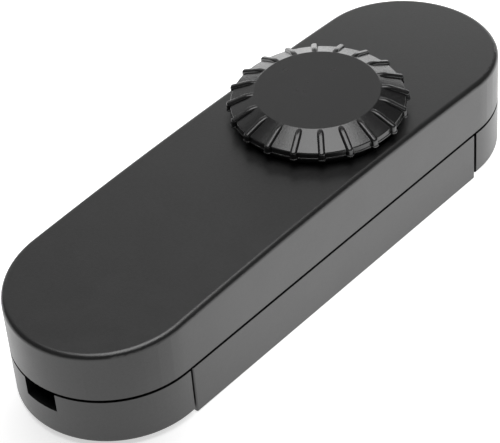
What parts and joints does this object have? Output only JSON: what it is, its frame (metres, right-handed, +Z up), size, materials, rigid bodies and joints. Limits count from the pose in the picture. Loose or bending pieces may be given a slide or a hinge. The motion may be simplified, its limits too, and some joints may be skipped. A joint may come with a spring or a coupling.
{
  "type": "rotary cord dimmer",
  "caption": "In-line rotary cord dimmer: a long round-ended black plastic housing with a ribbed turning knob on top, a lower panel between removable end covers and a cord slot at each end.",
  "frame": {"origin": "Centre of the underside, where the housing stands on a floor or table.", "axes": "X along the housing from the mains end to the load end, where the knob is nearer; Y across it; Z up through the knob."},
  "size_m": [0.138, 0.042, 0.0328],
  "materials": {
    "housing_black": "fine matte moulded texture, black",
    "knob_black": "fine matte moulded texture, black",
    "screw_steel": "zinc plated",
    "clamp_grey": "plain moulded, dark grey",
    "shaft_aluminium": "turned",
    "carrier_plastic": "plain moulded, off-white",
    "bushing_brass": "turned and stamped",
    "tinned_steel": "tinned",
    "track_board": "phenolic board, brown",
    "board_green": "solder resist, green",
    "terminal_plastic": "plain moulded, light grey",
    "sink_aluminium": "sheet, mill finish",
    "epoxy_black": "moulded epoxy",
    "core_iron": "coated iron powder, yellow",
    "enamelled_copper": "enamelled copper wire",
    "fuse_glass": "clear",
    "nickel_caps": "nickel plated",
    "film_yellow": "moulded box, yellow",
    "film_red": "moulded box, red brown",
    "resistor_beige": "lacquered, beige",
    "diode_blue": "lacquered glass, blue"
  },
  "bodies": {
    "housing": {"top_cover": "housing_black", "base": "housing_black", "end_cover_mains": "housing_black", "end_cover_load": "housing_black", "base_screws": "screw_steel", "end_cover_screws": "screw_steel", "cord_clamp_mains": "clamp_grey", "cord_clamp_load": "clamp_grey", "cord_clamp_screws": "screw_steel", "pot_bushing": "bushing_brass", "pot_case": "tinned_steel", "pot_track": "track_board", "pot_pins": "tinned_steel", "circuit_board": "board_green", "board_screws": "screw_steel", "terminal_block_mains": "terminal_plastic", "terminal_block_load": "terminal_plastic", "terminal_pins": "tinned_steel", "terminal_cages": "bushing_brass", "terminal_screws": "screw_steel", "heat_sink": "sink_aluminium", "triac_body": "epoxy_black", "triac_frame": "tinned_steel", "triac_screw": "screw_steel", "triac_nut": "screw_steel", "choke_core": "core_iron", "choke_winding": "enamelled_copper", "fuse_tube": "fuse_glass", "fuse_caps": "nickel_caps", "fuse_clips": "tinned_steel", "film_capacitor": "film_yellow", "timing_capacitor": "film_red", "resistor": "resistor_beige", "trigger_diode": "diode_blue"},
    "dial": {"knob": "knob_black", "pot_shaft": "shaft_aluminium", "pot_wiper": "carrier_plastic"}
  },
  "joints": [
    {"name": "knob_turn", "type": "hinge", "parent": "housing", "child": "dial", "pos_m": [0.0184, 0, 0.0256], "axis": [0, 0, 1], "range_deg": [-150, 150]}
  ]
}
